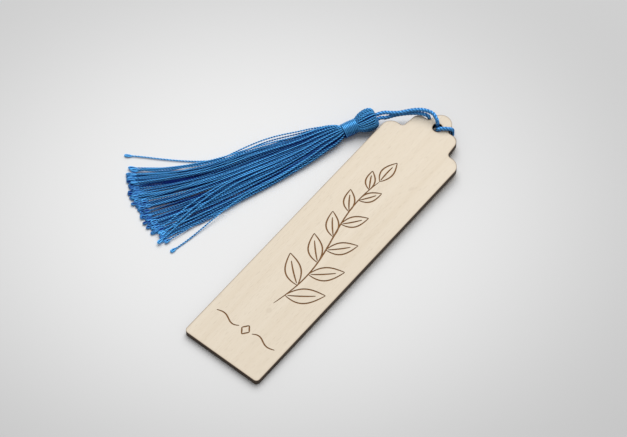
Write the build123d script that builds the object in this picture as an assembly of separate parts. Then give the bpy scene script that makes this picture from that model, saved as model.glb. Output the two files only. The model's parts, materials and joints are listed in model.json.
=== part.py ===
"""Bookmark: a three-ply wooden tag with a scalloped head, a cord hitched round its tab, and a tassel.

Millimetres. +X runs across the tag, +Y along it towards the tab, +Z up from the table that it lies on.
The origin is on the table under the middle of the tag. The cord passes under the tab, so the tag leans:
its plain end touches the table and its tab rides on the cord.
"""

from build123d import *
import math
import os

# Wooden tag
plate_width = 40.0
plate_length = 155.0
veneer_thickness = 0.8
core_thickness = 1.4
end_corner_radius = 1.8
shoulder_from_tip = 16.0
shoulder_radius = 4.8
step_ledge = 6.4
step_splay = 0.9
step_from_tip = 6.4
step_radius = 3.6
step_foot_fillet = 1.6
tab_radius = 5.0
tab_foot_fillet = 1.2
hole_diameter = 4.5
hole_from_tip = 7.2

# Cord
cord_diameter = 1.8
cord_sides = 8
cord_gap = 0.15
flank_gap = 0.2
leg_across = 0.75
leg_along = 0.95
edge_bend = 1.3
rim_bend = 1.6
hole_root_height = 1.5
flank_root_height = 1.0
hole_rise = 3.9
flank_rise = 3.0
back_bow_across = 2.4
back_bow_below_hole = 1.3
outer_crown_run = 3.2
inner_crown_run = 2.6

# Tassel: where its crown lies beside the tag, which way it points and how it dips
crown_beside_tag = 4.0
crown_below_tip = 19.0
crown_height = 5.5
tassel_turn = 27.0
tassel_dip = 8.5
cord_spacing = 2.4

# Head, measured from the crown down the tassel's axis
head_strand_count = 22
head_strand_sides = 5
head_strand_stations = 6
head_strand_radius = 0.5
head_strand_share = 0.43
head_crown_radius = 3.3
head_crown_depth = 0.6
head_belly_radius = 4.25
head_belly_depth = 3.6
head_length = 10.5
core_crown_depth = 0.3
head_core_gap = 0.14
knot_radius = 2.3
knot_depth = 3.85
knot_room = 0.1
knot_bands = 5
throat_radius = 2.15
throat_depth = 2.5

# Neck and its binding
neck_radius = 2.2
neck_length = 6.5
binding_diameter = 0.5
binding_sides = 4
binding_pitch = 0.95
binding_turns = 6
binding_clearance = 0.02

# Skirt: half width and rise between rows of strands at each distance below the neck
root_top_radius = 2.6
root_height = 4.0
root_sides = 16
row_count = 4
strands_per_row = 10
strand_radius = 0.4
strand_sides = 6
bulb_radius = 0.62
bulb_length = 2.2
skirt_length = 97.5
row_setback = 1.6
skirt_stations = (9.0, 20.0, 42.0, 66.0, 97.5)
skirt_half_widths = (5.2, 8.0, 10.6, 13.6, 22.0)
row_rises = (0.95, 0.76, 0.68, 0.5, 0.3)
outer_row_width = 0.72
stray_start = 52.0
left_stray_spread = 6.5
right_stray_spread = 4.0

# Worked out from the sizes above
plate_thickness = 2 * veneer_thickness + core_thickness
cord_radius = cord_diameter / 2
hole_place = plate_length - hole_from_tip
step_place = plate_length - step_from_tip
shoulder_place = plate_length - shoulder_from_tip
tab_place = plate_length - tab_radius
step_top_half = tab_radius + step_ledge
step_foot_half = step_top_half + step_splay
under_run = -(cord_radius + cord_gap)
over_run = plate_thickness + cord_radius + cord_gap
flank_across = tab_radius + cord_radius + flank_gap
flank_place = step_place + cord_radius + flank_gap
back_bow_place = hole_place - back_bow_below_hole
lean = math.degrees(math.asin((cord_radius - under_run) / back_bow_place))

# The tag's underside, from the middle of its plain end, leaning up to the tab
underside = Plane(
    origin=(0, -plate_length / 2, 0),
    x_dir=(1, 0, 0),
    z_dir=(0, -math.sin(math.radians(lean)), math.cos(math.radians(lean))),
)

# The tassel: across its axis, up from the table, and down its axis
across = Vector(math.cos(math.radians(tassel_turn)), -math.sin(math.radians(tassel_turn)), 0)
onward = Vector(-math.sin(math.radians(tassel_turn)), -math.cos(math.radians(tassel_turn)), 0)
dip = math.radians(tassel_dip)
crown = Vector(-(plate_width / 2 + crown_beside_tag), plate_length / 2 - crown_below_tip, crown_height)
down_axis = onward * math.cos(dip) + Vector(0, 0, -math.sin(dip))
tassel = Plane(origin=crown, x_dir=across, z_dir=down_axis)
neck_end = crown + down_axis * (head_length + neck_length)


def rounded(face, half_width, place, radius):
    """The outline with its pair of corners at this half width and place rounded."""
    corners = [v for v in face.vertices() if abs(abs(v.X) - half_width) < 0.01 and abs(v.Y - place) < 0.01]
    return fillet(corners, radius)


def fitted(wall, *radii):
    """Fillets that share a wall, drawn in together where the wall is too short for them."""
    share = min(1.0, 0.95 * wall / sum(radii))
    return [radius * share for radius in radii]


def tag_outline():
    """Blade, step and round tab, with rounded shoulders and soft inner corners, and the hole."""
    shoulder_round, foot_round = fitted(plate_width / 2 - step_foot_half, shoulder_radius, step_foot_fillet)
    step_round, tab_round = fitted(step_ledge, step_radius, tab_foot_fillet)
    blade = Pos(0, shoulder_place / 2) * Rectangle(plate_width, shoulder_place)
    step = Polygon(
        (-step_foot_half, shoulder_place),
        (step_foot_half, shoulder_place),
        (step_top_half, step_place),
        (-step_top_half, step_place),
        align=None,
    )
    neck = Pos(0, (step_place + tab_place) / 2) * Rectangle(2 * tab_radius, tab_place - step_place)
    tab = Pos(0, tab_place) * Circle(tab_radius)
    face = blade + step + neck + tab
    face = rounded(face, plate_width / 2, 0, end_corner_radius)
    face = rounded(face, plate_width / 2, shoulder_place, shoulder_round)
    face = rounded(face, step_foot_half, shoulder_place, foot_round)
    face = rounded(face, step_top_half, step_place, step_round)
    face = rounded(face, tab_radius, step_place, tab_round)
    return face - Pos(0, hole_place) * Circle(hole_diameter / 2)


def ply(outline, start, thickness):
    """One ply of the tag, from this height above the underside."""
    return extrude(underside.offset(start) * outline, amount=thickness)


def on_tag(x, y, z):
    """A point given across the tag, along it from its plain end and up from its underside."""
    return underside.from_local_coords(Vector(x, y, z))


def free_bends(points):
    """The largest radius that each corner's two runs leave room for."""
    radii = []
    for before, corner, after in zip(points, points[1:], points[2:]):
        runs = (corner - before, after - corner)
        turn = runs[0].get_angle(runs[1])
        radii.append(0.45 * min(run.length for run in runs) / math.tan(math.radians(turn / 2)))
    return radii


def tube(name, points, radii):
    """A faceted cord along straight runs and tangent arcs."""
    path = FilletPolyline(*points, radius=radii)
    section = RegularPolygon(cord_radius, cord_sides)
    cord = sweep(Plane(origin=path @ 0, z_dir=path % 0) * section, path=path)
    print(name, "length", round(path.length, 2), "radii", [round(r, 2) for r in radii])
    print(name, "volume over section times length", round(cord.volume / (section.area * path.length), 4))
    return cord


def hitch_points():
    """Down the hole, under to the right flank, over the tab, down the hole and under to the left flank."""
    return [
        on_tag(-leg_across, hole_place + leg_along, hole_root_height),
        on_tag(-leg_across, hole_place + leg_along, under_run),
        on_tag(flank_across, flank_place, under_run),
        on_tag(flank_across, flank_place, over_run),
        on_tag(leg_across, hole_place - leg_along, over_run),
        on_tag(leg_across, hole_place - leg_along, under_run),
        on_tag(-back_bow_across, back_bow_place, under_run),
        on_tag(-flank_across, flank_place, under_run),
        on_tag(-flank_across, flank_place, flank_root_height),
    ]


def hitch_cord():
    """The turns of the cord that hold it to the tab."""
    points = hitch_points()
    bow = free_bends(points)[5]
    return tube("hitch_cord", points, [rim_bend, edge_bend, edge_bend, rim_bend, rim_bend, bow, edge_bend])


def beside_tab(x, below_tip, height):
    """A point of the free cord, given below the tag's tip and above the table."""
    return Vector(x, plate_length / 2 - below_tip, height)


def crown_point(side, depth):
    """A point on one of the two cords at the crown, this far down the tassel's axis."""
    return crown + across * (side * cord_spacing / 2) + down_axis * depth


def loop_strand_upper():
    """From the hole, up over the tab's edge and down to the crown."""
    points = [
        hitch_points()[0],
        on_tag(-leg_across, hole_place + leg_along, hole_root_height + hole_rise),
        beside_tab(-4.2, 4.6, 8.4),
        beside_tab(-8.2, 5.2, 8.4),
        beside_tab(-12.4, 7.6, 7.9),
        beside_tab(-16.0, 10.9, 7.5),
        beside_tab(-19.7, 13.8, 7.2),
        crown_point(-1, -outer_crown_run),
        crown_point(-1, 0),
    ]
    return tube("loop_strand_upper", points, free_bends(points))


def loop_strand_lower():
    """From the left flank, up over the step, under the other strand and on to the crown."""
    points = [
        hitch_points()[-1],
        on_tag(-flank_across, flank_place, flank_root_height + flank_rise),
        beside_tab(-8.6, 6.7, 6.6),
        beside_tab(-12.4, 8.3, 5.8),
        beside_tab(-15.8, 11.0, 4.8),
        beside_tab(-18.8, 14.3, 4.5),
        crown_point(1, -inner_crown_run),
        crown_point(1, 0),
    ]
    return tube("loop_strand_lower", points, free_bends(points))


def bulge(depth, inset):
    """Radius of the head at this depth: two arcs that meet at the belly, drawn in by the inset."""
    if depth < head_belly_depth:
        end_radius, end_depth = head_crown_radius, head_crown_depth
    else:
        end_radius, end_depth = neck_radius, head_length
    fall, run = head_belly_radius - end_radius, end_depth - head_belly_depth
    arc = (fall**2 + run**2) / (2 * fall)
    return head_belly_radius - arc + math.sqrt(arc**2 - (depth - head_belly_depth) ** 2) - inset


def head_section_radius(depth):
    """A strand fills its share of the girth, up to its own thickness."""
    pitch = 2 * math.pi * bulge(depth, 0) / head_strand_count
    return min(head_strand_radius, head_strand_share * pitch)


def head_strand():
    """One folded strand, from the crown over the belly to the neck."""
    turns = [math.pi * i / (head_strand_stations - 1) for i in range(head_strand_stations)]
    depths = [head_crown_depth + (head_length - head_crown_depth) * (1 - math.cos(a)) / 2 for a in turns]
    sections = []
    for depth in depths:
        slope = (bulge(depth + 0.05, 0) - bulge(depth - 0.05, 0)) / 0.1
        place = Plane(origin=(bulge(depth, 0), 0, depth), x_dir=(0, 1, 0), z_dir=(slope, 0, 1))
        sections.append(place * RegularPolygon(head_section_radius(depth), head_strand_sides))
    return loft(sections, ruled=True)


def head_strands():
    """The outer layer of folded strands, side by side round the head."""
    strand = head_strand()
    turns = [Rot(0, 0, 360 * i / head_strand_count) for i in range(head_strand_count)]
    return Compound([tassel.location * turn * strand for turn in turns])


def head_core():
    """The inner strands packed in the head, round a throat for the cords and a room for their knot."""
    room_radius = knot_radius + knot_room
    room_floor = knot_depth + room_radius
    inset = head_section_radius(head_crown_depth) + head_core_gap
    belly_inset = head_strand_radius + head_core_gap
    foot_inset = head_section_radius(head_length) + head_core_gap
    crown_edge = (head_crown_radius - inset, core_crown_depth)
    belly = (head_belly_radius - belly_inset, head_belly_depth)
    foot = (neck_radius - foot_inset, head_length)
    shoulder_depth = (head_crown_depth + head_belly_depth) / 2
    waist_depth = (head_belly_depth + head_length) / 2
    shoulder = (bulge(shoulder_depth, belly_inset), shoulder_depth)
    waist = (bulge(waist_depth, belly_inset), waist_depth)
    outline = Polyline(
        crown_edge,
        shoulder,
        belly,
        waist,
        foot,
        (0, head_length),
        (0, room_floor),
        (room_radius, room_floor),
        (room_radius, throat_depth),
        (throat_radius, throat_depth),
        (throat_radius, core_crown_depth),
        close=True,
    )
    return tassel.location * revolve(Plane.XZ * make_face(outline), axis=Axis.Z)


def hanger_knot():
    """The cord's two ends, knotted inside the head."""
    stub = extrude(RegularPolygon(cord_radius, cord_sides), amount=knot_depth)
    ends = Pos(-cord_spacing / 2, 0) * stub + Pos(cord_spacing / 2, 0) * stub
    turns = [math.pi * i / knot_bands for i in range(knot_bands + 1)]
    outline = [(knot_radius * math.sin(a), knot_depth - knot_radius * math.cos(a)) for a in turns]
    ball = revolve(Plane.XZ * make_face(Polyline(*outline, close=True)), axis=Axis.Z)
    return tassel.location * (ends + ball)


def neck_core():
    """The strands drawn together under the binding."""
    return tassel.location * Pos(0, 0, head_length) * extrude(Circle(neck_radius), amount=neck_length)


def biarc(start, start_way, end, end_way):
    """Two arcs that leave the start and reach the end along the given ways."""
    span = end - start
    lean_in = span.dot(start_way + end_way)
    spread = 2 * (1 - start_way.dot(end_way))
    reach = (math.sqrt(lean_in**2 + spread * span.dot(span)) - lean_in) / spread
    middle = (start + end + (start_way - end_way) * reach) * 0.5
    middle_way = (end - end_way * reach) - (start + start_way * reach)
    return [
        TangentArc(start, middle, tangent=start_way),
        TangentArc(middle, end, tangent=middle_way),
    ]


def neck_binding():
    """One thread wound round the neck, its ends straight for one thread's width."""
    wire_radius = binding_diameter / 2
    radius = neck_radius + binding_clearance + wire_radius
    climb = binding_pitch / (2 * math.pi)
    first = head_length + (neck_length - binding_turns * binding_pitch) / 2

    def at(angle):
        place = Vector(radius * math.cos(angle), radius * math.sin(angle), first + climb * angle)
        way = Vector(-radius * math.sin(angle), radius * math.cos(angle), climb).normalized()
        return place, way

    quarters = [at(math.pi / 2 * i) for i in range(4 * binding_turns + 1)]
    lead_in = Line(quarters[0][0] - quarters[0][1] * binding_diameter, quarters[0][0])
    lead_out = Line(quarters[-1][0], quarters[-1][0] + quarters[-1][1] * binding_diameter)
    turns = [arc for a, b in zip(quarters, quarters[1:]) for arc in biarc(*a, *b)]
    path = Wire([edge for piece in (lead_in, *turns, lead_out) for edge in piece.edges()])
    marks = [at(2 * math.pi * i / 48)[0] for i in range(48 * binding_turns + 1)]
    pairs = [(a, b) for i, a in enumerate(marks) for b in marks[i + 24 :]]
    gap = min((a - b).length for a, b in pairs) - binding_diameter
    print("neck_binding least gap to itself", round(gap, 3))
    section = RegularPolygon(wire_radius, binding_sides)
    return tassel.location * sweep(Plane(origin=path @ 0, z_dir=path % 0) * section, path=path)


def on_skirt(distance, sideways, height):
    """A point given below the neck, across the skirt and above the table."""
    place = neck_end + onward * distance + across * sideways
    return Vector(place.X, place.Y, height)


def between(values, distance):
    """A size read off between the skirt's stations."""
    for i in range(len(skirt_stations) - 1):
        low, high = skirt_stations[i], skirt_stations[i + 1]
        if distance <= high:
            share = (distance - low) / (high - low)
            return values[i] + (values[i + 1] - values[i]) * share
    return values[-1]


def skirt_root():
    """The strands from the neck until they part, round at the neck and flat where they part."""
    start = skirt_stations[0]
    half_width = skirt_half_widths[0]
    turns = [2 * math.pi * i / root_sides for i in range(root_sides)]
    neck = [(root_top_radius * math.cos(a), root_top_radius * math.sin(a)) for a in turns]
    foot = [(half_width * math.cos(a), root_height / 2 * math.sin(a)) for a in turns]
    neck_plane = Plane(origin=neck_end, x_dir=across, z_dir=down_axis)
    foot_plane = Plane(origin=on_skirt(start, 0, root_height / 2), x_dir=across, z_dir=onward)
    neck_face = neck_plane * make_face(Polyline(*neck, close=True))
    foot_face = foot_plane * make_face(Polyline(*foot, close=True))
    return loft([neck_face, foot_face], ruled=True)


def strand_line(row, place, distance):
    """Where a strand of this row runs at this distance: fanned across, stepped up by rows."""
    width = between(skirt_half_widths, distance) - strand_radius
    outer = row in (0, row_count - 1)
    narrow = outer_row_width if outer else 1.0
    opened = min(1.0, (distance - skirt_stations[0]) / (skirt_stations[2] - skirt_stations[0]))
    stagger = (row + 0.5) / row_count - 0.5
    share = 2 * (place + 0.5 + stagger) / strands_per_row - 1
    sideways = share * width * (narrow + (1 - narrow) * opened)
    away = max(0.0, (distance - stray_start) / (skirt_length - stray_start)) ** 2
    rise = row * between(row_rises, distance)
    if row == 0 and place == 0:
        sideways -= left_stray_spread * away
    if row == row_count - 1 and place == strands_per_row - 1:
        sideways += right_stray_spread * away
        rise *= 1 - away
    return sideways, rise


def strand_stations(row):
    """Distances and section radii down a strand, with the bulb at its end."""
    end = skirt_length - row_setback * row
    body = [(distance, strand_radius) for distance in skirt_stations[:-1]]
    bulb = [
        (end - bulb_length, strand_radius),
        (end - 0.7 * bulb_length, bulb_radius),
        (end - 0.25 * bulb_length, bulb_radius),
        (end, strand_radius),
    ]
    return body + bulb


def skirt_strand(row, place):
    """One strand of the skirt, flat-bottomed where it lies on the table, with its looped end."""
    flat = math.cos(math.pi / strand_sides)
    sections = []
    for distance, radius in strand_stations(row):
        sideways, rise = strand_line(row, place, distance)
        height = max(strand_radius * flat + rise, radius * flat)
        station = Plane(origin=on_skirt(distance, sideways, height), x_dir=across, z_dir=onward)
        sections.append(station * RegularPolygon(radius, strand_sides))
    return loft(sections, ruled=True)


def build():
    """Every piece of the bookmark under its own name."""
    outline = tag_outline()
    pieces = {
        "back_veneer": ply(outline, 0, veneer_thickness),
        "core_ply": ply(outline, veneer_thickness, core_thickness),
        "front_veneer": ply(outline, veneer_thickness + core_thickness, veneer_thickness),
        "hitch_cord": hitch_cord(),
        "loop_strand_upper": loop_strand_upper(),
        "loop_strand_lower": loop_strand_lower(),
        "hanger_knot": hanger_knot(),
        "head_core": head_core(),
        "head_strands": head_strands(),
        "neck_core": neck_core(),
        "neck_binding": neck_binding(),
        "skirt_root": skirt_root(),
    }
    for row in range(row_count):
        for place in range(strands_per_row):
            number = row * strands_per_row + place + 1
            pieces[f"skirt_strand_{number:02d}"] = skirt_strand(row, place)
    return pieces


os.makedirs("parts", exist_ok=True)
for name, piece in build().items():
    export_step(piece, f"parts/{name}.step")
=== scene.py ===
"""Bookmark: an engraved wooden tag, a hitched cord and a silky tassel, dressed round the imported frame.

Metres. +X runs across the tag, +Y along it towards its tab, and +Z up from the table that it lies on.
"""

import json
import math

import bmesh
import bpy
import numpy as np
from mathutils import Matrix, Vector


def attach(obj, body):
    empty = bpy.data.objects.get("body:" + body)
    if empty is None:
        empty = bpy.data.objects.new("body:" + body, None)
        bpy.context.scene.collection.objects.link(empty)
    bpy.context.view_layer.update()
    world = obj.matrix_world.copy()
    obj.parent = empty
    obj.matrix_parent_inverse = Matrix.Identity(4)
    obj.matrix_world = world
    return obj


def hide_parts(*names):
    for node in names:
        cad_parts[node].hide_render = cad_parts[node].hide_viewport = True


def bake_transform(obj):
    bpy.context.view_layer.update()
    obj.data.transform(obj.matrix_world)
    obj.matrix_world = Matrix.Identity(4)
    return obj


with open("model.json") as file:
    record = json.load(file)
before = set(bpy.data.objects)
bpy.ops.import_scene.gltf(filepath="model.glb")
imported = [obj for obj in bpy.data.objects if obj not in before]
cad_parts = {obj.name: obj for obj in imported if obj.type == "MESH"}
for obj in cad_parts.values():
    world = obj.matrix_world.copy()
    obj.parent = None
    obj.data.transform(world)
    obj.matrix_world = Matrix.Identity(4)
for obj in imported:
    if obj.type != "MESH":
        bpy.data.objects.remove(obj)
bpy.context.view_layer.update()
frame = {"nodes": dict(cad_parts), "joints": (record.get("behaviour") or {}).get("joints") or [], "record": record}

bl_info = {
    "name": "Tasselled wooden bookmark",
    "version": (1, 0, 0),
    "blender": (4, 5, 0),
    "location": "3D View > Sidebar > Bookmark",
    "description": "Dresses a bookmark's frame with engraved wood, twisted cord and a tassel",
    "category": "Object",
}

mounts = {mount["name"]: mount for mount in frame["record"]["mounts"]}
joints = {joint["name"]: joint for joint in frame["joints"]}

# The tag's own axes: across it, along it from its plain end, and up from its underside
TAG_THICKNESS = 0.003
ACROSS = np.array([1.0, 0.0, 0.0])
ALONG = -np.array(mounts["blade"]["axis"])
OUTWARD = np.cross(ACROSS, ALONG)
TAG_FOOT = np.array(mounts["blade"]["pos_m"]) - OUTWARD * TAG_THICKNESS / 2

# The tag's outline, measured along it from its plain end
TAG_HALF_WIDTH = 0.020
TAG_END_ROUND = 0.0018
SHOULDER_PLACE = 0.139
SHOULDER_ROUND = 0.0048
STEP_PLACE = 0.1486
STEP_FOOT_HALF = 0.0123
STEP_SPLAY = 0.0009
STEP_ROUND = 0.0036
STEP_FOOT_ROUND = 0.0016
TAB_FOOT_ROUND = 0.0012
TAB_PLACE = 0.150
TAB_RADIUS = 0.005
HOLE_PLACE = 0.1478
HOLE_RADIUS = 0.00225
PLY_LINES = (0.0008, 0.0022)

# The tassel's own axes: sideways, onward over the table, down its dipping axis and out from that
UP = np.array([0.0, 0.0, 1.0])
TURN = math.radians(27.0)
DIP = math.radians(8.5)
SIDEWAYS = np.array([math.cos(TURN), -math.sin(TURN), 0.0])
ONWARD = np.array([-math.sin(TURN), -math.cos(TURN), 0.0])
DOWN_AXIS = ONWARD * math.cos(DIP) - UP * math.sin(DIP)
CROSSWISE = np.cross(DOWN_AXIS, SIDEWAYS)
CROWN = np.array(joints["tassel_swing"]["pos_m"])
HEAD_LENGTH = 0.0105
NECK_LENGTH = 0.0065
NECK_END = CROWN + DOWN_AXIS * (HEAD_LENGTH + NECK_LENGTH)


def tinted(red, green, blue):
    """A colour as seen on a screen, from 0 to 255, turned into linear light."""
    screen = np.array([red, green, blue]) / 255
    linear = np.where(screen <= 0.04045, screen / 12.92, ((screen + 0.055) / 1.055) ** 2.4)
    return tuple(float(part) for part in linear)


def colour(name, description, red, green, blue):
    """A colour that a user may change."""
    return bpy.props.FloatVectorProperty(
        name=name, description=description, subtype="COLOR", size=3, min=0, max=1, default=tinted(red, green, blue)
    )


def amount(name, description, number, unit="NONE", least=0, precision=2):
    """A number that a user may change."""
    return bpy.props.FloatProperty(
        name=name, description=description, unit=unit, min=least, precision=precision, default=number
    )


def length(name, description, metres):
    """A length that a user may change."""
    return amount(name, description, metres, "LENGTH", precision=5)


def camera_angle(name, description, degrees):
    """An angle that a user may change."""
    return amount(name, description, math.radians(degrees), "ROTATION", least=-math.pi)


def whole_number(name, description, number, least=0):
    """A count that a user may change."""
    return bpy.props.IntProperty(name=name, description=description, min=least, default=number)


class WoodSettings(bpy.types.PropertyGroup):
    """The tag's wood and its engraving."""

    pale: colour("Pale wood", "Light bands of the face veneer", 240, 228, 209)
    honey: colour("Honey wood", "Darker streaks of the face veneer", 226, 210, 186)
    scorch: colour("Scorched rim", "Thin browned line along the cut outline", 132, 106, 78)
    char: colour("Charred edge", "Darkest parts of the cut edge", 44, 34, 27)
    brown: colour("Browned edge", "Lightest parts of the cut edge", 96, 78, 60)
    burn: colour("Burnt line", "Darkest parts of the engraved lines", 112, 74, 34)
    toast: colour("Toasted line", "Lightest parts of the engraved lines", 164, 118, 66)
    line_width: length("Line width", "Width of an engraved line", 0.0008)
    line_depth: length("Line depth", "Depth of an engraved line", 0.00022)


class CordSettings(bpy.types.PropertyGroup):
    """The cord that hangs the tassel from the tab."""

    diameter: length("Diameter", "Outer diameter of the cord", 0.0018)
    lay: length("Lay", "Length of cord in which a ply goes once round", 0.0044)
    plies: whole_number("Plies", "Twisted plies in the cord", 3, least=2)
    # The cord's colour runs from the deep blue to the bright: painted shade draws it towards the deep blue
    deep: colour("Deep blue", "Hollows between the cord's plies", 4, 16, 84)
    bright: colour("Bright blue", "Ridges of the cord's plies", 90, 170, 240)


class TasselSettings(bpy.types.PropertyGroup):
    """The tassel's head, neck and skirt."""

    head_strands: whole_number("Head strands", "Folded strands round the head", 28, least=8)
    row_strands: whole_number("Strands in a row", "Looped strands in each of the skirt's rows", 26, least=6)
    binding_turns: whole_number("Binding turns", "Turns of thread round the neck", 9, least=3)
    skirt_length: length("Skirt length", "From the neck to the longest tips", 0.0985)
    ply_radius: length("Ply radius", "Radius of one ply of a skirt strand", 0.000190)
    twist: length("Twist", "Length in which two plies go once round each other", 0.0024)
    tip_length: length("Tip length", "Length of the loop at a strand's tip", 0.0026)
    tip_swell: length("Tip swell", "How far the loop's sides stand apart", 0.00045)
    seed: whole_number("Seed", "Draw of the strands' unevenness", 7)
    # The floss's colour runs from the deep blue to the bright: painted shade draws it towards the deep blue
    deep: colour("Deep blue", "Hollows between the plies of the floss", 20, 44, 122)
    bright: colour("Bright blue", "Ridges of the floss", 98, 190, 255)


class StageSettings(bpy.types.PropertyGroup):
    """The floor, the light and the camera."""

    floor: colour("Floor", "Floor round the object", 242, 242, 242)
    # Painted light: the floor is painted darker towards the corners, as if the lamp's light fell off there
    painted_floor_dimming: colour("Floor edge", "Floor towards the corners of the view", 206, 206, 206)
    key_power: amount("Key light", "Power of the large soft lamp", 32.0, "POWER")
    sky: amount("Sky", "Strength of the even light", 0.32)
    azimuth: camera_angle("Azimuth", "Camera's turn round the tag", 39.2)
    elevation: camera_angle("Elevation", "Camera's height above the floor", 57.49)
    distance: length("Distance", "From the camera to its target", 1.5)
    lens: amount("Lens", "Focal length in millimetres", 199.82, "CAMERA", least=1)


def math_method(operation, swapped=False):
    """A method of Value that joins it and another number, either way round, by a Math node."""

    def method(value, other):
        pair = (other, value) if swapped else (value, other)
        return value.paint.node("ShaderNodeMath", {"operation": operation}, dict(enumerate(pair)))

    return method


class Value:
    """One socket of a material. Arithmetic on it adds Math nodes, and dot() a Vector Math node."""

    def __init__(self, paint, socket):
        self.paint = paint
        self.socket = socket

    __add__, __radd__ = math_method("ADD"), math_method("ADD", swapped=True)
    __sub__, __rsub__ = math_method("SUBTRACT"), math_method("SUBTRACT", swapped=True)
    __mul__, __rmul__ = math_method("MULTIPLY"), math_method("MULTIPLY", swapped=True)
    __truediv__, __rtruediv__ = math_method("DIVIDE"), math_method("DIVIDE", swapped=True)
    __pow__, __rpow__ = math_method("POWER"), math_method("POWER", swapped=True)
    least, most = math_method("MINIMUM"), math_method("MAXIMUM")

    def __abs__(self):
        return self.paint.node("ShaderNodeMath", {"operation": "ABSOLUTE"}, {0: self})

    def rise(self, low, high):
        """A smooth step from 0 at low to 1 at high."""
        settings = {"interpolation_type": "SMOOTHSTEP", "clamp": True}
        inputs = {"Value": self, "From Min": low, "From Max": high, "To Min": 0.0, "To Max": 1.0}
        return self.paint.node("ShaderNodeMapRange", settings, inputs)

    def dot(self, direction):
        """How far this vector reaches along a fixed direction."""
        inputs = {0: self, 1: tuple(float(part) for part in direction)}
        return self.paint.node("ShaderNodeVectorMath", {"operation": "DOT_PRODUCT"}, inputs, "Value")


class Paint:
    """A material under construction; node() adds any node to it."""

    def __init__(self, name):
        self.material = bpy.data.materials.new(name)
        self.material.use_nodes = True
        self.tree = self.material.node_tree
        self.tree.nodes.clear()

    def node(self, kind, settings=None, inputs=None, output=0):
        """A node of this kind: its settings first, then the values or links of its sockets."""
        node = self.tree.nodes.new(kind)
        for name, value in (settings or {}).items():
            setattr(node, name, value)
        for key, value in (inputs or {}).items():
            if isinstance(value, Value):
                self.tree.links.new(value.socket, node.inputs[key])
            else:
                node.inputs[key].default_value = value
        return Value(self, node.outputs[output]) if node.outputs else None

    def mix(self, share, first, second):
        """A colour between two, from the first at 0 to the second at 1."""
        first, second = (part if isinstance(part, Value) else (*part, 1.0) for part in (first, second))
        settings = {"data_type": "RGBA", "clamp_factor": True}
        return self.node("ShaderNodeMix", settings, {0: share, 6: first, 7: second}, 2)

    def noise(self, x, y, z, detail=2.0, roughness=0.5):
        """Soft noise from 0 to 1 over these coordinates."""
        vector = self.node("ShaderNodeCombineXYZ", None, {0: x, 1: y, 2: z})
        inputs = {"Vector": vector, "Scale": 1.0, "Detail": detail, "Roughness": roughness}
        return self.node("ShaderNodeTexNoise", None, inputs)

    def coordinates(self, kind="Object"):
        """Where a point lies on its piece, or which way it faces there."""
        return self.node("ShaderNodeTexCoord", None, None, kind)

    def attribute(self, name):
        """A number that the mesh holds for each point."""
        return self.node("ShaderNodeAttribute", {"attribute_name": name}, None, "Fac")

    def bump(self, height, strength, distance):
        """A surface raised by a height from 0 to 1 over this distance."""
        return self.node("ShaderNodeBump", None, {"Strength": strength, "Distance": distance, "Height": height})

    def surface(self, inputs):
        """The finished surface, with these values and links on its sockets."""
        shader = self.node("ShaderNodeBsdfPrincipled", None, inputs)
        self.node("ShaderNodeOutputMaterial", None, {"Surface": shader})
        return self.material


def unit(vectors):
    """Each vector divided by its length."""
    return vectors / np.linalg.norm(vectors, axis=-1, keepdims=True)


def spread(values):
    """Numbers, one for each point, made ready to multiply vectors."""
    return np.asarray(values)[..., None]


def lengths_along(points):
    """The length of a line from its first point to each of its points."""
    return np.concatenate([[0], np.cumsum(np.linalg.norm(np.diff(points, axis=0), axis=1))])


def eased(stations, values, at):
    """A smooth line through values at stations: cubic spans, sloped at each station by its neighbours."""
    stations, values = np.asarray(stations), np.asarray(values)
    slopes = np.gradient(values, stations)
    span = np.clip(np.searchsorted(stations, at, side="right") - 1, 0, len(stations) - 2)
    width = stations[span + 1] - stations[span]
    t = np.clip((at - stations[span]) / width, 0, 1)
    from_first = (1 + 2 * t) * (1 - t) ** 2 * values[span] + t * (1 - t) ** 2 * width * slopes[span]
    from_second = t**2 * (3 - 2 * t) * values[span + 1] + t**2 * (t - 1) * width * slopes[span + 1]
    return from_first + from_second


def smooth_step(low, high, at):
    """From 0 at low to 1 at high, level at both ends."""
    t = np.clip((at - low) / (high - low), 0, 1)
    return t * t * (3 - 2 * t)


def on_tag(across, along, up):
    """Points given across the tag, along it from its plain end and up from its underside."""
    return TAG_FOOT + spread(across) * ACROSS + spread(along) * ALONG + spread(up) * OUTWARD


def in_tassel(sideways, crosswise, depth):
    """Points given across the tassel's axis both ways and down it from the crown."""
    return CROWN + spread(sideways) * SIDEWAYS + spread(crosswise) * CROSSWISE + spread(depth) * DOWN_AXIS


def side_frames(paths, hint):
    """Two directions square to each path: the part of the hint that is square to it, and the one square to both."""
    tangents = unit(np.gradient(paths, axis=-2))
    normals = unit(hint - tangents * np.sum(hint * tangents, axis=-1, keepdims=True))
    return normals, np.cross(tangents, normals)


def tube_rings(paths, radii, sides, hint):
    """Rings round each path: path + radius times (cosine of the angle along one side, sine along the other)."""
    normals, binormals = side_frames(paths, hint)
    angles = np.linspace(0, 2 * np.pi, sides, endpoint=False)[:, None]
    rounds = np.cos(angles) * normals[:, :, None, :] + np.sin(angles) * binormals[:, :, None, :]
    return paths[:, :, None, :] + np.broadcast_to(radii, paths.shape[:2])[:, :, None, None] * rounds


def turned_in(rings, paths, away):
    """How far each point of a tube turns from a direction: 0 where it faces that way and 1 where it faces back."""
    away = np.broadcast_to(away, paths.shape)[:, :, None, :]
    facing = np.sum(unit(rings - paths[:, :, None, :]) * away, axis=-1)
    return (1 - facing) / 2


def shaded(painted_shades, shade):
    """Painted shade deepened by more painted shade, both from 0 to 1."""
    return 1 - (1 - painted_shades) * (1 - shade)


def undershaded(painted_shades, lowness, shade, low, high):
    """Painted shade deepened by more painted shade towards a piece's underside, where its lowness goes from low to
    high.
    """
    return shaded(painted_shades, shade * smooth_step(low, high, lowness))


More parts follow.
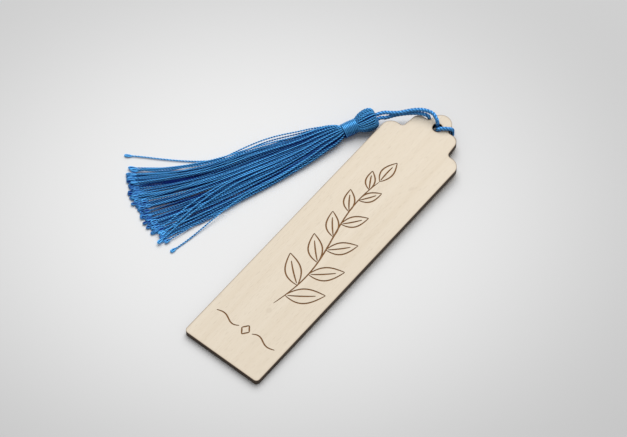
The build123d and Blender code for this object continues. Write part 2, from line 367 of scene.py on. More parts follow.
def skin(name, rings, tones, painted_shades):
    """A mesh of closed tubes from rings (tube, station, side): quads between rings and a cap on each end.

    Its UV map runs along each tube in metres and round it in turns. Its tone is one number per tube: the thread's
    own tone and, on some pieces, painted light and shade as well. Its other attribute is painted shade, from 0 to
    1:
    how dark each point is painted in the dips between its neighbours, under other strands and on undersides.
    """
    tubes, stations, sides = rings.shape[:3]
    index = np.arange(tubes * stations * sides).reshape(tubes, stations, sides)
    turned = np.roll(index, -1, axis=2)
    quads = np.stack([index[:, :-1], turned[:, :-1], turned[:, 1:], index[:, 1:]], axis=-1).reshape(-1, 4)
    caps = np.concatenate([index[:, 0, ::-1], index[:, -1]])
    mesh = bpy.data.meshes.new(name)
    mesh.from_pydata(rings.reshape(-1, 3).tolist(), [], quads.tolist() + caps.tolist())

    steps = np.linalg.norm(np.diff(rings.mean(axis=2), axis=1), axis=-1)
    reach = np.concatenate([np.zeros((tubes, 1)), np.cumsum(steps, axis=1)], axis=1)
    ends = np.stack([reach[:, :-1], reach[:, :-1], reach[:, 1:], reach[:, 1:]], axis=-1)[:, :, None, :]
    turns = (np.arange(sides)[:, None] + np.array([0, 1, 1, 0])) / sides
    shape = (tubes, stations - 1, sides, 4)
    walls = np.stack([np.broadcast_to(ends, shape), np.broadcast_to(turns, shape)], axis=-1).reshape(-1, 2)
    lids = np.repeat(np.concatenate([reach[:, 0], reach[:, -1]]), sides)
    lids = np.stack([lids, np.zeros_like(lids)], axis=-1)
    mesh.uv_layers.new(name="thread").data.foreach_set("uv", np.concatenate([walls, lids]).ravel())
    tone = mesh.attributes.new("tone", "FLOAT", "POINT")
    tone.data.foreach_set("value", np.repeat(tones, stations * sides).astype(np.float32))
    painted_shade = mesh.attributes.new("painted_shade", "FLOAT", "POINT")
    painted_shade.data.foreach_set("value", np.broadcast_to(painted_shades, rings.shape[:3]).ravel().astype(np.float32))
    mesh.polygons.foreach_set("use_smooth", np.ones(len(mesh.polygons), bool))
    mesh.update()
    return mesh


def placed(name, data):
    """A new object in the scene, at the origin."""
    made = bpy.data.objects.new(name, data)
    bpy.context.scene.collection.objects.link(made)
    return made


def add_piece(name, mesh, material):
    """A piece of the object, in place, with its finish."""
    piece = placed(name, mesh)
    mesh.materials.append(material)
    return piece


# Yarn: the turns of its fibres in a metre, and its noise along it, round it and from thread to thread
FIBRE_TURNS = 450
FIBRE_GRAIN = (700, 9, 40)
WORN_GRAIN = (160, 70)
YARN_BRIGHTNESS = 1.15
FIBRE_CONTRAST = 0.8
WORN_CONTRAST = 0.5
# How far the painted shade darkens the yarn towards its deep blue
PAINTED_SHADE_CONTRAST = 1.5


def yarn(name, deep, bright):
    """Silky twisted yarn: fibres slanting round each ply, darkened by its painted shade, with a gloss spread across
    it.
    """
    paint = Paint(name)
    thread = paint.node("ShaderNodeUVMap", {"uv_map": "thread"})
    along, turn = thread.dot((1, 0, 0)), thread.dot((0, 1, 0))
    tone, painted_shade = paint.attribute("tone"), paint.attribute("painted_shade")
    slant = turn + along * FIBRE_TURNS
    ways = (along * FIBRE_GRAIN[0], slant * FIBRE_GRAIN[1], tone * FIBRE_GRAIN[2])
    fibres = paint.noise(*ways, detail=3.0, roughness=0.6)
    worn = paint.noise(along * WORN_GRAIN[0], tone * WORN_GRAIN[1], 0.0)
    uneven = (fibres - 0.5) * FIBRE_CONTRAST + (worn - 0.5) * WORN_CONTRAST
    # Painted shade: the mesh's shade attribute darkens the colour towards the deep blue
    share = YARN_BRIGHTNESS + tone + uneven - painted_shade * PAINTED_SHADE_CONTRAST
    return paint.surface({
        "Base Color": paint.mix(share, deep, bright),
        "Roughness": 0.34 + fibres * 0.16,
        "Metallic": 0.6,
        "Specular IOR Level": 0.1,
        "Anisotropic": 0.9,
        "Anisotropic Rotation": 0.25,
        "Tangent": paint.node("ShaderNodeTangent", {"direction_type": "UV_MAP", "uv_map": "thread"}),
        "Normal": paint.bump(fibres, strength=0.35, distance=0.00006),
    })


def rounded_depth(x, y, half_x, half_y, radius):
    """How far a point lies inside a rounded rectangle: the radius less its distance from the inner rectangle."""
    past_x = abs(x) - (half_x - radius)
    past_y = abs(y) - (half_y - radius)
    outside = (past_x.most(0.0) ** 2 + past_y.most(0.0) ** 2) ** 0.5
    return radius - outside - past_x.most(past_y).least(0.0)


def joined_depth(first, second, radius):
    """How far a point lies inside two joined shapes whose inner corner is rounded by this radius."""
    both = ((first + radius).most(0.0) ** 2 + (second + radius).most(0.0) ** 2) ** 0.5
    return both - (0 - first.most(second)).most(radius)


# Half of what a rectangle runs on past the end whose corners don't count
SPARE = 0.02


def rim_depth(across, along):
    """How far a point of the tag lies from its outline: inside the blade, the step or the tab, outside the hole."""
    half = SHOULDER_PLACE / 2
    plain_end = rounded_depth(across, along - (half + SPARE), TAG_HALF_WIDTH, half + SPARE, TAG_END_ROUND)
    shoulders = rounded_depth(across, along - (half - SPARE), TAG_HALF_WIDTH, half + SPARE, SHOULDER_ROUND)
    splayed = abs(across) + (along - SHOULDER_PLACE) * (STEP_SPLAY / (STEP_PLACE - SHOULDER_PLACE))
    step = rounded_depth(splayed, along - (STEP_PLACE - SPARE), STEP_FOOT_HALF, SPARE, STEP_ROUND)
    past_tab = (along - TAB_PLACE).most(0.0)
    tab = (TAB_RADIUS - (across**2 + past_tab**2) ** 0.5).least(along - SHOULDER_PLACE)
    from_hole = (across**2 + (along - HOLE_PLACE) ** 2) ** 0.5 - HOLE_RADIUS
    outer = joined_depth(plain_end.least(shoulders), step, STEP_FOOT_ROUND)
    return joined_depth(outer, tab, TAB_FOOT_ROUND).least(from_hole)


# The veneer's noise in a metre, across the grain and along it
WOOD_DRIFT = (20, 30)
WOOD_FIBRES = (3200, 45)
WOOD_BANDS = (260, 7)
WOOD_PORES = (5200, 330)
WOOD_FLECKS = (240, 150)
DRIFT_REACH = 0.0012

# The cut edge's noise in a metre, round the tag and through it, and how far from a ply line its glue fades
EDGE_STREAKS = (2600, 260)
EDGE_SMOKE = (160, 500)
GLUE_SPAN = (0.00004, 0.00014)

# The browned outline: how far in its glow and its line reach, and how ragged they are
HALO_SPAN = (0.0, 0.0011)
RIM_SPAN = (0.00004, 0.00032)
RIM_RAGGED = 0.00012


def birch(name, wood):
    """Pale fine-grained veneer, browned along its outline, with a charred and striated cut edge."""
    paint = Paint(name)
    place, facing = paint.coordinates(), paint.coordinates("Normal")
    across, along, up = (place.dot(axis) - float(TAG_FOOT @ axis) for axis in (ACROSS, ALONG, OUTWARD))
    drift = paint.noise(along * WOOD_DRIFT[1], across * WOOD_DRIFT[0], 0.5)
    bent = across + drift * DRIFT_REACH

    def grained(grain, **quality):
        return paint.noise(bent * grain[0], along * grain[1], up * grain[0], **quality)

    def scorched(grain):
        return paint.noise(across * grain[0], along * grain[0], up * grain[1])

    fibres = grained(WOOD_FIBRES, detail=3.0, roughness=0.65)
    bands = grained(WOOD_BANDS)
    pores = grained(WOOD_PORES, detail=0.0).rise(0.66, 0.8)
    flecks = paint.noise(across * WOOD_FLECKS[0], along * WOOD_FLECKS[1], 2.0, detail=0.0).rise(0.77, 0.84)
    face = paint.mix(fibres * 0.55 + bands * 0.75 - 0.18, wood.pale, wood.honey)
    face = paint.mix(pores * 0.16 + flecks * 0.1, face, wood.scorch)

    depth = rim_depth(across, along) + (fibres - 0.5) * RIM_RAGGED
    halo = 1 - depth.rise(*HALO_SPAN)
    rim = 1 - depth.rise(*RIM_SPAN)
    face = paint.mix(halo * 0.16 + rim * 0.72, face, wood.scorch)

    streaks, smoke = scorched(EDGE_STREAKS), scorched(EDGE_SMOKE)
    glue = 1 - abs(up - PLY_LINES[0]).least(abs(up - PLY_LINES[1])).rise(*GLUE_SPAN)
    edge_share = (streaks * 0.8 + smoke * 0.7 - 0.35) * (1 - glue * 0.7)
    edge = paint.mix(edge_share, wood.char, wood.brown)

    cut = 1 - abs(facing.dot(OUTWARD)).rise(0.35, 0.65)
    grain = fibres * (1 - cut) + streaks * cut
    return paint.surface({
        "Base Color": paint.mix(cut, face, edge),
        "Roughness": 0.58 + fibres * 0.12 + cut * 0.2,
        "Normal": paint.bump(grain, strength=0.22, distance=0.00005),
    })


# The engraved lines' noise in a metre, that of the fibres across the tag and along it
BURNT_PATCHES = 700
BURNT_FIBRES = (4200, 400)


def burnt_line(name, wood):
    """The browned walls and floor of an engraved line, uneven along its way."""
    paint = Paint(name)
    place = paint.coordinates()
    across, along = place.dot(ACROSS), place.dot(ALONG)
    patches = paint.noise(across * BURNT_PATCHES, along * BURNT_PATCHES, 0.0, detail=3.0)
    fibres = paint.noise(across * BURNT_FIBRES[0], along * BURNT_FIBRES[1], 3.0)
    return paint.surface({
        "Base Color": paint.mix(patches * 0.9 + fibres * 0.5 - 0.35, wood.burn, wood.toast),
        "Roughness": 0.72 + patches * 0.15,
        "Normal": paint.bump(fibres, strength=0.3, distance=0.00005),
    })


# The sprig: its stem along the tag, the leaves on it from foot to top, and the flourish below it
STROKE_STATIONS = 44
STEM_FOOT = 0.034
STEM_TOP = 0.110
STEM_SWAY = 0.0034
STEM_WAVES = 0.85
STEM_PHASE = 0.04
SIDE_LEAVES = 10
LEAF_SPAN = (0.08, 0.92)
LEAF_LENGTHS = (0.0172, 0.0098)
LEAF_ANGLES = (math.radians(58), math.radians(36))
LEAF_SLIMNESS = 0.21
LEAF_FULLNESS = 0.9
LEAF_BOW = -0.1
TOP_LEAF_ANGLE = math.radians(-6)
TOP_LEAF_SIZE = 1.25
RIB_START = 0.06
RIB_SPAN = 0.7
RIB_BOW = 0.6
FLOURISH_PLACE = 0.0165
FLOURISH_REACH = 0.0125
FLOURISH_GAP = 0.0034
FLOURISH_WAVE = 0.11
FLOURISH_FADE = 0.5
LOZENGE = np.array([[0, 0.0026], [0.002, 0], [0, -0.0026], [-0.002, 0], [0, 0.0026]])


def stem_line(t):
    """The sprig's stem: along the tag, swaying across it as a sine."""
    across = STEM_SWAY * np.sin(2 * np.pi * (STEM_WAVES * t + STEM_PHASE))
    return np.stack([across, STEM_FOOT + (STEM_TOP - STEM_FOOT) * t], -1)


def leaf_strokes(feet, headings, lengths):
    """Leaves: a bowed axis, two sides that stand off it by the sine of the way along, and a shorter rib."""
    t = np.linspace(0, 1, STROKE_STATIONS)[None, :, None]
    way = np.stack([np.sin(headings), np.cos(headings)], -1)[:, None, :]
    aside = np.stack([np.cos(headings), -np.sin(headings)], -1)[:, None, :]
    reach = lengths[:, None, None]
    bow = np.sign(np.sin(headings))[:, None, None] * LEAF_BOW * reach * t**2
    axis = feet[:, None, :] + way * reach * t + aside * bow
    side = aside * reach * LEAF_SLIMNESS * np.sin(np.pi * t**LEAF_FULLNESS)
    rib = feet[:, None, :] + way * reach * (RIB_START + RIB_SPAN * t) + aside * bow * RIB_BOW
    return axis - side, axis + side, rib


def sprig():
    """The engraved design as four sets of strokes; no two strokes of one set cross."""
    t = np.linspace(0, 1, STROKE_STATIONS)
    stem = stem_line(t)[None]

    rank = np.linspace(0, 1, SIDE_LEAVES)
    hands = np.where(np.arange(SIDE_LEAVES) % 2 == 0, 1.0, -1.0)
    headings = hands * (LEAF_ANGLES[0] + (LEAF_ANGLES[1] - LEAF_ANGLES[0]) * rank)
    lengths = LEAF_LENGTHS[0] + (LEAF_LENGTHS[1] - LEAF_LENGTHS[0]) * rank
    feet = np.concatenate([stem_line(np.linspace(*LEAF_SPAN, SIDE_LEAVES)), stem_line(np.array([1.0]))])
    headings = np.append(headings, TOP_LEAF_ANGLE)
    lengths = np.append(lengths, LEAF_LENGTHS[1] * TOP_LEAF_SIZE)
    left, right, ribs = leaf_strokes(feet, headings, lengths)

    swing = FLOURISH_WAVE * np.sin(2 * np.pi * t) * (1 - FLOURISH_FADE * t)
    wave = np.stack([t, swing], -1) * FLOURISH_REACH
    shift = np.array([FLOURISH_GAP, FLOURISH_PLACE])
    waves = np.stack([wave + shift, wave * (-1, -1) + shift * (-1, 1)])
    lozenge = LOZENGE + (0, FLOURISH_PLACE)
    sides = lozenge[:-1, None] + (lozenge[1:] - lozenge[:-1])[:, None] * t[None, :, None]
    return [
        np.concatenate([stem, waves, sides[0::2]]),
        np.concatenate([left, sides[1::2]]),
        right,
        ribs,
    ]


# A groove: its width at a stroke's ends and how soon it widens, its floor's width, and its flare above the face
GROOVE_END = 0.3
GROOVE_TAPER = 0.35
GROOVE_FLOOR = 0.5
GROOVE_FLARE = 0.22


def groove_rings(strokes, width, depth):
    """Cutters along strokes: a tapering trapezoid from above the face down to the groove's floor."""
    steps = np.gradient(strokes, axis=1)
    right = unit(np.stack([steps[..., 1], -steps[..., 0]], -1))
    t = np.linspace(0, 1, strokes.shape[1])
    half = spread(width / 2 * (GROOVE_END + (1 - GROOVE_END) * np.sin(np.pi * t) ** GROOVE_TAPER))
    top = half * (1 + GROOVE_FLARE)
    floor = half * GROOVE_FLOOR
    corners = [(top, depth), (floor, -depth), (-floor, -depth), (-top, depth)]
    rings = [on_tag(*np.moveaxis(strokes + right * reach, -1, 0), TAG_THICKNESS + rise) for reach, rise in corners]
    return np.stack(rings, axis=2)


def carve(piece, cutters):
    """Cuts each cutter out of the piece in turn and keeps the carved mesh."""
    for cutter in cutters:
        cut = piece.modifiers.new(cutter.name, "BOOLEAN")
        cut.operation = "DIFFERENCE"
        cut.solver = "MANIFOLD"
        cut.object = cutter
    graph = bpy.context.evaluated_depsgraph_get()
    carved = bpy.data.meshes.new_from_object(piece.evaluated_get(graph))
    piece.modifiers.clear()
    piece.data = carved
    for cutter in cutters:
        bpy.data.objects.remove(cutter)


class BOOKMARK_OT_finish_plies(bpy.types.Operator):
    """Gives the tag's core and back their wood"""

    bl_idname = "bookmark.finish_plies"
    bl_label = "Finish the plies"

    def execute(self, context):
        wood = birch("birch_veneer", context.scene.bookmark_wood)
        for name in ("core_ply", "back_veneer"):
            node = frame["nodes"][name]
            node.data.materials.clear()
            node.data.materials.append(wood)
        return {"FINISHED"}


# Points this close are one, and a face this far down that turns up this much is in a groove
MERGE_DISTANCE = 1e-6
SUNK_DEPTH = 2e-6
LOOKS_UP = 0.05


class BOOKMARK_OT_engrave_face(bpy.types.Operator):
    """Cuts the sprig into a copy of the front veneer"""

    bl_idname = "bookmark.engrave_face"
    bl_label = "Engrave the face"

    def execute(self, context):
        wood = context.scene.bookmark_wood
        mesh = frame["nodes"]["front_veneer"].data.copy()
        mesh.name = "engraved_face"
        mesh.materials.clear()
        shape = bmesh.new()
        shape.from_mesh(mesh)
        bmesh.ops.remove_doubles(shape, verts=shape.verts, dist=MERGE_DISTANCE)
        shape.to_mesh(mesh)
        shape.free()
        piece = add_piece("engraved_face", mesh, bpy.data.materials["birch_veneer"])

        cutters = []
        for number, strokes in enumerate(sprig()):
            rings = groove_rings(strokes, wood.line_width, wood.line_depth)
            cutters.append(placed(f"cutter_{number}", skin("cutter", rings, np.zeros(len(strokes)), 0.0)))
        carve(piece, cutters)
        self.paint_grooves(piece.data, wood)
        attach(piece, "plate")
        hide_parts("front_veneer")
        return {"FINISHED"}

    def paint_grooves(self, mesh, wood):
        """Faces under the top that look up are the grooves' walls and floors."""
        mesh.materials.clear()
        mesh.materials.append(bpy.data.materials["birch_veneer"])
        mesh.materials.append(burnt_line("burnt_line", wood))
        centres = np.empty(len(mesh.polygons) * 3)
        facings = np.empty(len(mesh.polygons) * 3)
        mesh.polygons.foreach_get("center", centres)
        mesh.polygons.foreach_get("normal", facings)
        heights = (centres.reshape(-1, 3) - TAG_FOOT) @ OUTWARD
        looks_up = facings.reshape(-1, 3) @ OUTWARD > LOOKS_UP
        sunk = heights < TAG_THICKNESS - SUNK_DEPTH
        mesh.polygons.foreach_set("material_index", (looks_up & sunk).astype(np.int32))
        mesh.polygons.foreach_set("use_smooth", np.zeros(len(mesh.polygons), bool))
        mesh.update()


# The cord's route, with its points listed: out of the crown in the tassel's axes, up to the tab, round it in
# the tag's axes, and back down into the crown
CORD_START = np.array([
    (-0.0006, 0.0002, 0.0012),
    (-0.0006, 0.0002, -0.0022),
])
CORD_UPPER = np.array([
    (-0.0197, 0.0629, 0.0066),
    (-0.0171, 0.0648, 0.0069),
    (-0.0150, 0.0672, 0.0074),
    (-0.0127, 0.0695, 0.0079),
    (-0.0100, 0.0715, 0.0084),
    (-0.0068, 0.0728, 0.0086),
    (-0.0040, 0.0731, 0.0083),
])
CORD_HITCH = np.array([
    (-0.00095, 0.14890, 0.0060),
    (-0.00075, 0.14875, 0.0040),
    (-0.00075, 0.14875, 0.0015),
    (-0.00075, 0.14875, -0.00105),
    (0.0018, 0.14930, -0.00105),
    (0.0037, 0.15000, -0.00105),
    (0.0061, 0.15070, -0.00105),
    (0.0061, 0.15070, 0.0015),
    (0.0061, 0.15070, 0.00405),
    (0.0039, 0.14930, 0.00415),
    (0.0027, 0.14840, 0.00415),
    (0.00075, 0.14685, 0.00405),
    (0.00075, 0.14685, 0.0015),
    (0.00075, 0.14685, -0.00105),
    (-0.0009, 0.14660, -0.00105),
    (-0.0024, 0.1465, -0.00105),
    (-0.0044, 0.14825, -0.00105),
    (-0.0061, 0.1497, -0.00105),
    (-0.0061, 0.1497, 0.0010),
    (-0.0061, 0.1497, 0.0030),
    (-0.0066, 0.1493, 0.0047),
])
CORD_LOWER = np.array([
    (-0.0097, 0.0708, 0.0065),
    (-0.0124, 0.0692, 0.0061),
    (-0.0150, 0.0673, 0.0055),
    (-0.0174, 0.0652, 0.0050),
    (-0.0194, 0.0629, 0.0046),
    (-0.0212, 0.0600, 0.0044),
])
CORD_END = np.array([
    (0.0009, -0.0010, -0.0010),
    (0.0009, -0.0010, 0.0012),
])


def cord_route():
    """The cord's points from the crown, round the tab and back to the crown."""
    out, back = in_tassel(*CORD_START.T), in_tassel(*CORD_END.T)
    return np.concatenate([out, CORD_UPPER, on_tag(*CORD_HITCH.T), CORD_LOWER, back])


def spline_points(name, route, steps):
    """Points read off a smooth NURBS line that has the route's points as its control points."""
    curve = bpy.data.curves.new(name, "CURVE")
    curve.dimensions = "3D"
    curve.resolution_u = steps
    spline = curve.splines.new("NURBS")
    spline.points.add(len(route) - 1)
    spline.points.foreach_set("co", np.column_stack([route, np.ones(len(route))]).ravel())
    spline.order_u = 3
    spline.use_endpoint_u = True
    holder = bpy.data.objects.new(name, curve)
    mesh = bpy.data.meshes.new_from_object(holder)
    points = np.empty(len(mesh.vertices) * 3)
    mesh.vertices.foreach_get("co", points)
    bpy.data.objects.remove(holder)
    bpy.data.curves.remove(curve)
    bpy.data.meshes.remove(mesh)
    return points.reshape(-1, 3)


def twisted(line, plies, offset, lay, hint):
    """Plies twisted round a line: each stands off it by the offset, at an angle that grows with the length."""
    turns = 2 * np.pi * (lengths_along(line)[None, :] / lay + np.arange(plies)[:, None] / plies)
    normals, binormals = side_frames(line, hint)
    return line + offset * (spread(np.cos(turns)) * normals + spread(np.sin(turns)) * binormals)


# The cord: a direction that it never runs along, its grid, plies, length and tones. A ridge is a power that
# shapes the painted shade, above 1 where a ply's bright top is broad. An undershade is painted shade: how dark an
# underside gets, and where that starts and is full
CORD_HINT = np.array([-0.19, 0.98, 0.0])
CORD_STEPS = 18
CORD_SIDES = 9
CORD_PLY_SHARE = 0.53
CORD_TONES = (-0.06, 0.08)
CORD_RIDGE = 1.1
CORD_UNDERSHADE = (0.4, 0.15, 0.65)


class BOOKMARK_OT_hitch_cord(bpy.types.Operator):
    """Lays the twisted cord from the tassel's crown, round the tab and back"""

    bl_idname = "bookmark.hitch_cord"
    bl_label = "Hitch the cord"

    def execute(self, context):
        cord = context.scene.bookmark_cord
        line = spline_points("cord_line", cord_route(), CORD_STEPS)
        ply_radius = cord.diameter / 2 * CORD_PLY_SHARE
        paths = twisted(line, cord.plies, cord.diameter / 2 - ply_radius, cord.lay, CORD_HINT)
        rings = tube_rings(paths, ply_radius, CORD_SIDES, CORD_HINT)
        # Painted shade: darker between the plies and on the cord's underside
        painted_shades = turned_in(rings, paths, unit(paths - line)) ** CORD_RIDGE
        underside = turned_in(rings, np.broadcast_to(line, paths.shape), UP)
        painted_shades = undershaded(painted_shades, underside, *CORD_UNDERSHADE)
        mesh = skin("hanging_cord", rings, np.linspace(*CORD_TONES, cord.plies), painted_shades)
        piece = add_piece("hanging_cord", mesh, yarn("cord_yarn", cord.deep, cord.bright))
        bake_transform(piece)
        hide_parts("hitch_cord", "loop_strand_upper", "loop_strand_lower")
        return {"FINISHED"}


# The head's outline as radius and depth, from the dimple where the cords go in to under the binding
HEAD_RADII = (0.0010, 0.0017, 0.0027, 0.0036, 0.0041, 0.0043, 0.0041, 0.0036, 0.0029, 0.0024)
HEAD_DEPTHS = (0.0024, 0.0013, 0.0012, 0.0018, 0.0029, 0.0043, 0.0062, 0.0081, 0.0097, 0.0112)
HEAD_SPREAD = 1.13

# The head's strands: their grid, size and twist, the share of their thickness that they keep where they crowd,
# and their painted shade
HEAD_STATIONS = 72
HEAD_SIDES = 6
HEAD_HINT = DOWN_AXIS + 0.3 * SIDEWAYS
HEAD_STRAND_RADIUS = 0.00044
HEAD_PLY_SHARE = 0.55
HEAD_CROWDED = 0.42
HEAD_TWIST = 0.0024
HEAD_RIDGE = 2
HEAD_PLY_PAINTED_SHADE = 0.8
HEAD_UNDERSHADE = (0.25, 0.2, 0.65)

# How uneven they are: in lean, in place, in how far they stand out, and in tone
HEAD_LEAN = 0.05
HEAD_SHUFFLE = 0.06
HEAD_PROUD = 0.00006
HEAD_TONES = (0.02, 0.07)

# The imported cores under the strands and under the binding
CORE_SIDES = 24
CORE_STATIONS = 18
CORE_INSET = 0.00030
CORE_LEAST = 0.0004
NECK_TUCK = 0.0004

# The binding: its thread's radius as a share of its pitch, its slack, and the turn over which that changes
NECK_RADIUS = 0.0026
BINDING_STATIONS = 40
BINDING_SIDES = 7
BINDING_THREAD = 0.56
BINDING_SLACK = 0.00003
BINDING_WOBBLE = 2.1
# Painted shade: the whole binding is painted darker, standing in for the shade round the neck
BINDING_PAINTED_SHADE = -0.15
BINDING_RIDGE = 0.7
NECK_UNDERSHADE = (0.4, 0.12, 0.55)


def head_outline(count):
    """Radius and depth at even steps along the head's outline, and the length up to each."""
    reach = lengths_along(np.stack([HEAD_RADII, HEAD_DEPTHS], -1))
    at = np.linspace(0, reach[-1], count)
    return eased(reach, HEAD_RADII, at), eased(reach, HEAD_DEPTHS, at), at


def head_strands(count, rng):
    """Two-ply strands laid over the head from dimple to neck, thinner where they crowd."""
    radius, depth, reach = head_outline(HEAD_STATIONS)
    slope_radius, slope_depth = np.gradient(radius), np.gradient(depth)
    steep = np.hypot(slope_radius, slope_depth)
    out_radial, out_depth = slope_depth / steep, -slope_radius / steep
    crowding = np.clip(2 * np.pi * radius / count / (2 * HEAD_STRAND_RADIUS), HEAD_CROWDED, 1.0)
    ply_radius = HEAD_STRAND_RADIUS * crowding * HEAD_PLY_SHARE
    offset = HEAD_STRAND_RADIUS * crowding - ply_radius

    strand = np.arange(count)[:, None]
    lean = rng.normal(0, HEAD_LEAN, (count, 1)) * np.sin(np.pi * reach / reach[-1])
    bearing = 2 * np.pi * (strand + rng.normal(0, HEAD_SHUFFLE, (count, 1))) / count + lean
    proud = rng.normal(0, HEAD_PROUD, (count, 1))
    phase = rng.uniform(0, 2 * np.pi, (count, 1)) + 2 * np.pi * reach / HEAD_TWIST
    phases = np.concatenate([phase, phase + np.pi])
    bearings = np.concatenate([bearing, bearing])
    lifted = np.concatenate([proud, proud]) + offset * np.cos(phases)
    aside = offset * np.sin(phases)
    away = radius + lifted * out_radial
    sideways = HEAD_SPREAD * (away * np.cos(bearings) - aside * np.sin(bearings))
    crosswise = away * np.sin(bearings) + aside * np.cos(bearings)
    paths = in_tassel(sideways, crosswise, depth + lifted * out_depth)
    heart = in_tassel(HEAD_SPREAD * radius * np.cos(bearings), radius * np.sin(bearings), depth)
    outward = unit(in_tassel(out_radial * np.cos(bearings), out_radial * np.sin(bearings), out_depth) - CROWN)
    rings = tube_rings(paths, ply_radius, HEAD_SIDES, HEAD_HINT)
    # Painted shade: darker between the plies, between the strands and towards the head's underside
    between_plies = turned_in(rings, paths, unit(paths - heart)) ** HEAD_RIDGE * HEAD_PLY_PAINTED_SHADE
    between_strands = turned_in(rings, paths, outward)
    tones = np.tile(rng.normal(*HEAD_TONES, count), 2)
    lowness = (1 - outward[..., 2:]) / 2
    painted_shades = np.maximum(between_plies, between_strands)
    return rings, tones, undershaded(painted_shades, lowness, *HEAD_UNDERSHADE)


def turned_core(radii, depths):
    """A closed round core: rings of these radii at these depths down the tassel's axis."""
    angles = np.linspace(0, 2 * np.pi, CORE_SIDES, endpoint=False)
    radii = spread(radii)
    return in_tassel(radii * np.cos(angles), radii * np.sin(angles), spread(depths))[None]


def joined(name, parts, material):
    """One piece made of several meshes."""
    shape = bmesh.new()
    for mesh in parts:
        shape.from_mesh(mesh)
        bpy.data.meshes.remove(mesh)
    mesh = bpy.data.meshes.new(name)
    shape.to_mesh(mesh)
    shape.free()
    return add_piece(name, mesh, material)


class BOOKMARK_OT_fold_head(bpy.types.Operator):
    """Folds the floss over the tassel's head"""

    bl_idname = "bookmark.fold_head"
    bl_label = "Fold the head"

    def execute(self, context):
        tassel = context.scene.bookmark_tassel
        rng = np.random.default_rng(tassel.seed)
        rings, tones, painted_shades = head_strands(tassel.head_strands, rng)
        radius, depth, _ = head_outline(CORE_STATIONS)
        core = turned_core(np.maximum(radius - CORE_INSET, CORE_LEAST), depth)
        piece = joined(
            "tassel_head",
            # The packing core is painted wholly in painted shade, so it shows dark between the strands
            [skin("folds", rings, tones, painted_shades), skin("packing", core, np.zeros(1), 1.0)],
            yarn("tassel_yarn", tassel.deep, tassel.bright),
        )
        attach(piece, "tassel")
        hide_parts("head_strands", "head_core", "hanger_knot")
        return {"FINISHED"}


class BOOKMARK_OT_bind_neck(bpy.types.Operator):
    """Winds the binding thread round the tassel's neck"""

    bl_idname = "bookmark.bind_neck"
    bl_label = "Bind the neck"

    def execute(self, context):
        tassel = context.scene.bookmark_tassel
        turns = tassel.binding_turns
        pitch = NECK_LENGTH / turns
        thread = pitch * BINDING_THREAD
        angle = np.linspace(0, 2 * np.pi * turns, turns * BINDING_STATIONS + 1)
        rng = np.random.default_rng(tassel.seed + 1)
        marks = np.arange(0, angle[-1] + BINDING_WOBBLE, BINDING_WOBBLE)
        loose = np.interp(angle, marks, rng.normal(0, BINDING_SLACK, len(marks)))
        radius = NECK_RADIUS + thread + loose
        depth = HEAD_LENGTH + pitch * angle / (2 * np.pi) + loose
        path = in_tassel(radius * np.cos(angle), radius * np.sin(angle), depth)[None]
        path[..., 2] = np.maximum(path[..., 2], thread)
        outward = in_tassel(np.cos(angle), np.sin(angle), 0.0) - CROWN
        rings = tube_rings(path, thread, BINDING_SIDES, DOWN_AXIS)
        # Painted shade: darker between the turns and towards the neck's underside
        painted_shades = turned_in(rings, path, outward) ** BINDING_RIDGE
        painted_shades = undershaded(painted_shades, (1 - outward[None, :, 2:]) / 2, *NECK_UNDERSHADE)
        core = turned_core([NECK_RADIUS, NECK_RADIUS], [HEAD_LENGTH - NECK_TUCK, HEAD_LENGTH + NECK_LENGTH])
        piece = joined(
            "neck_winding",
            # The gathered core is painted wholly in painted shade, so it shows dark between the turns
            [skin("winding", rings, np.array([BINDING_PAINTED_SHADE]), painted_shades), skin("gathered", core, np.zeros(1), 1.0)],
            yarn("binding_yarn", tassel.deep, tassel.bright),
        )
        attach(piece, "tassel")
        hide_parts("neck_binding", "neck_core")
        return {"FINISHED"}


# The skirt's form by distance from the neck: its left and right edges, and its lowest and highest strands
SKIRT_STATIONS = np.array([-1.2, 0.0, 1.5, 4.0, 9.0, 20.0, 30.0, 42.0, 54.0, 66.0, 78.0, 88.0, 98.0]) / 1000
SKIRT_LEFT = np.array([1.9, 2.4, 3.8, 5.1, 6.4, 7.2, 8.1, 8.8, 9.6, 11.5, 15.0, 19.0, 23.4]) / -1000
SKIRT_RIGHT = np.array([1.9, 2.4, 3.4, 4.7, 6.1, 8.8, 10.6, 12.2, 14.0, 15.7, 17.2, 18.4, 19.8]) / 1000
SKIRT_LOW = np.array([0.95, 0.80, 0.60] + [0.46] * 10) / 1000
SKIRT_HIGH = np.array([5.1, 5.4, 5.5, 5.4, 4.8, 3.7, 3.1, 2.7, 2.45, 2.2, 1.9, 1.6, 1.3]) / 1000

# Where the bundle goes from round to flat, from gathered tiers to fanned ones, and from even to uneven
ROUND_SPAN = (0.004, 0.042)
FAN_SPAN = (0.012, 0.050)
LIFT_SPAN = (0.003, 0.028)
DRIFT_START = 0.012

# Its rows from the table up, with painted shade that darkens the lower rows and painted light on the top one, and
# the tiers that the strands of a row stand in
ROWS = 4
ROW_PAINTED_LIGHT = (-0.12, -0.06, 0.02, 0.12)
ROW_STAGGER = (0.375, -0.125, 0.125, -0.375)
ROW_SETBACK = 0.0005
TIER_NECK = np.array([0.0, 1.1, 0.8, 0.8, 1.1]) / 1000
TIER_FAN = np.array([0.0, 0.7, 0.2, 0.7, 0.35]) / 1000

# How uneven the strands are: in place, drift, sway, height, turn of the tip, tone and length
UNEVEN_PLACE = 0.012
UNEVEN_DRIFT = 0.016
UNEVEN_SWAY = 0.0004
SWAY_LENGTHS = (0.030, 0.060)
UNEVEN_LIFT = 0.00018
UNEVEN_TURN = 0.3
UNEVEN_TONE = 0.08
UNEVEN_END = 0.0015

